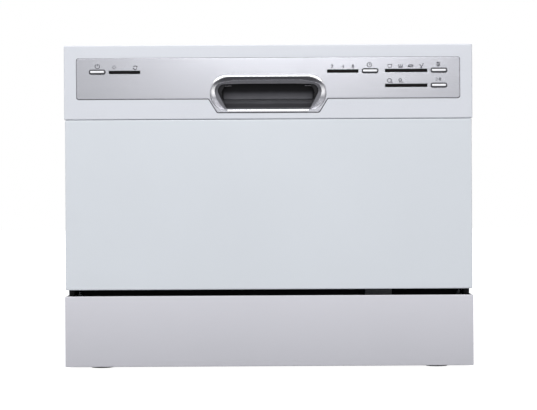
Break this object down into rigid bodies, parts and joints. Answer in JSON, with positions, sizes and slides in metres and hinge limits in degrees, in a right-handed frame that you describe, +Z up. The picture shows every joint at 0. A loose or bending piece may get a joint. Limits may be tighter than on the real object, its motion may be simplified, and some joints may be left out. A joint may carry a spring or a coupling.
{
  "type": "countertop dishwasher",
  "caption": "Front-loading countertop dishwasher with a drop-down door, sliding basket, spray arm and push-button fascia.",
  "frame": {"origin": "on the ground, under the middle of the machine's box", "axes": "+Z up, the door faces -Y, +X is on the right of someone who faces the door"},
  "size_m": [0.55, 0.5, 0.438],
  "materials": {
    "white_paint": "satin",
    "white_plastic": "semi gloss",
    "brushed_silver": "brushed",
    "bright_bezel": "satin chrome",
    "black_plastic": "matt",
    "dark_plastic": "satin",
    "grey_plastic": "satin",
    "light_plastic": "satin",
    "smoked_window": "gloss",
    "button_white": "gloss",
    "stainless": "satin",
    "zinc_steel": "zinc plated",
    "coated_wire": "nylon coated",
    "seal_rubber": "matt",
    "foot_rubber": "matt",
    "motor_steel": "satin",
    "board_green": "solder mask",
    "clear_grey": "satin"
  },
  "bodies": {
    "root": {"base_tray": "black_plastic", "rubber_feet": "foot_rubber", "kick_panel": "white_paint", "left_side_panel": "white_paint", "right_side_panel": "white_paint", "top_panel": "white_paint", "back_panel": "zinc_steel", "cabinet_screws": "zinc_steel", "tub": "stainless", "door_seal": "seal_rubber", "latch_strike": "zinc_steel", "hinge_brackets": "zinc_steel", "hinge_pins": "zinc_steel", "door_springs": "zinc_steel", "sump": "light_plastic", "flat_filter": "stainless", "heating_element": "zinc_steel", "wash_pump_housing": "light_plastic", "wash_motor": "motor_steel", "drain_pump": "dark_plastic", "softener": "clear_grey", "air_break": "clear_grey", "inlet_valve": "light_plastic", "inlet_hoses": "grey_plastic", "drain_hose": "grey_plastic", "drain_connector": "black_plastic", "cord_gland": "black_plastic", "float_switch": "black_plastic"},
    "door": {"door_outer_panel": "white_paint", "door_inner_liner": "stainless", "control_fascia": "white_plastic", "trim_panel": "brushed_silver", "handle_bezel": "bright_bezel", "handle_cup": "dark_plastic", "latch_housing": "black_plastic", "indicator_windows": "smoked_window", "control_board": "board_green", "dispenser_body": "light_plastic", "hinge_arms": "zinc_steel", "door_screws": "zinc_steel"},
    "lever": {"latch_lever": "grey_plastic"},
    "hook": {"latch_hook": "zinc_steel"},
    "power_button": {"power_button": "button_white"},
    "delay_button": {"delay_button": "button_white"},
    "program_button": {"program_button": "button_white"},
    "start_button": {"start_button": "button_white"},
    "dispenser_lid": {"dispenser_lid": "grey_plastic"},
    "rinse_aid_cap": {"rinse_aid_cap": "grey_plastic"},
    "basket": {"basket_wires": "coated_wire", "plate_tines": "coated_wire", "cutlery_basket": "grey_plastic"},
    "cup_shelf": {"cup_shelf": "coated_wire"},
    "front_wheels": {"front_wheels": "light_plastic"},
    "rear_wheels": {"rear_wheels": "light_plastic"},
    "spray_arm": {"spray_arm": "light_plastic"},
    "filter_cup": {"filter_cup": "stainless"},
    "tub_float": {"tub_float": "light_plastic"},
    "salt_cap": {"salt_cap": "dark_plastic"},
    "wash_impeller": {"wash_impeller": "light_plastic"},
    "drain_impeller": {"drain_impeller": "light_plastic"}
  },
  "joints": [
    {"name": "door_hinge", "type": "hinge", "parent": "root", "child": "door", "pos_m": [0, -0.235, 0.1156], "axis": [1, 0, 0], "range_deg": [0, 90], "stiffness_Nm_per_rad": 4, "deforming": ["door_springs"]},
    {"name": "lever_pivot", "type": "hinge", "parent": "door", "child": "lever", "pos_m": [0, -0.23, 0.3913], "axis": [-1, 0, 0], "range_deg": [0, 15], "stiffness_Nm_per_rad": 0.12, "springref_deg": -11.46},
    {"name": "hook_pivot", "type": "hinge", "parent": "door", "child": "hook", "pos_m": [0, -0.214, 0.4159], "axis": [1, 0, 0], "range_deg": [0, 4.01]},
    {"name": "power_press", "type": "slide", "parent": "door", "child": "power_button", "axis": [0, 1, 0], "range_m": [0, 0.0012], "stiffness_N_per_m": 400, "springref_m": -0.0006},
    {"name": "delay_press", "type": "slide", "parent": "door", "child": "delay_button", "axis": [0, 1, 0], "range_m": [0, 0.0012], "stiffness_N_per_m": 400, "springref_m": -0.0006},
    {"name": "program_press", "type": "slide", "parent": "door", "child": "program_button", "axis": [0, 1, 0], "range_m": [0, 0.0012], "stiffness_N_per_m": 400, "springref_m": -0.0006},
    {"name": "start_press", "type": "slide", "parent": "door", "child": "start_button", "axis": [0, 1, 0], "range_m": [0, 0.0012], "stiffness_N_per_m": 400, "springref_m": -0.0006},
    {"name": "lid_slide", "type": "slide", "parent": "door", "child": "dispenser_lid", "axis": [0, 0, -1], "range_m": [0, 0.045]},
    {"name": "rinse_cap_turn", "type": "hinge", "parent": "door", "child": "rinse_aid_cap", "pos_m": [0.052, -0.199, 0.2646], "axis": [0, 1, 0], "range_deg": [0, 90]},
    {"name": "basket_slide", "type": "slide", "parent": "root", "child": "basket", "axis": [0, -1, 0], "range_m": [0, 0.134]},
    {"name": "shelf_fold", "type": "hinge", "parent": "basket", "child": "cup_shelf", "pos_m": [-0.2172, 0.015, 0.2949], "axis": [0, -1, 0], "range_deg": [0, 90]},
    {"name": "front_wheel_spin", "type": "hinge", "parent": "basket", "child": "front_wheels", "pos_m": [0, -0.114, 0.1609], "axis": [1, 0, 0], "range_deg": [0, 700]},
    {"name": "rear_wheel_spin", "type": "hinge", "parent": "basket", "child": "rear_wheels", "pos_m": [0, 0.152, 0.1609], "axis": [1, 0, 0], "range_deg": [0, 700]},
    {"name": "spray_spin", "type": "hinge", "parent": "root", "child": "spray_arm", "pos_m": [0, 0.01, 0.142], "axis": [0, 0, 1], "continuous": true},
    {"name": "filter_turn", "type": "hinge", "parent": "root", "child": "filter_cup", "pos_m": [0, -0.0337, 0.1], "axis": [0, 0, 1], "range_deg": [0, 90]},
    {"name": "float_lift", "type": "slide", "parent": "root", "child": "tub_float", "axis": [0, 0, 1], "range_m": [0, 0.008]},
    {"name": "salt_cap_turn", "type": "hinge", "parent": "root", "child": "salt_cap", "pos_m": [-0.15, -0.12, 0.126], "axis": [0, 0, 1], "range_deg": [0, 180]},
    {"name": "wash_impeller_spin", "type": "hinge", "parent": "root", "child": "wash_impeller", "pos_m": [0.11, 0.01, 0.066], "axis": [1, 0, 0], "continuous": true},
    {"name": "drain_impeller_spin", "type": "hinge", "parent": "root", "child": "drain_impeller", "pos_m": [-0.101, 0.04, 0.06], "axis": [1, 0, 0], "continuous": true}
  ],
  "couplings": [
    {"joint": "hook_pivot", "follows": "lever_pivot", "ratio": 0.26667},
    {"joint": "basket_slide", "follows": "door_hinge", "m_per_rad": 0.085},
    {"joint": "front_wheel_spin", "follows": "door_hinge", "ratio": 7.7273},
    {"joint": "rear_wheel_spin", "follows": "door_hinge", "ratio": 7.7273}
  ]
}
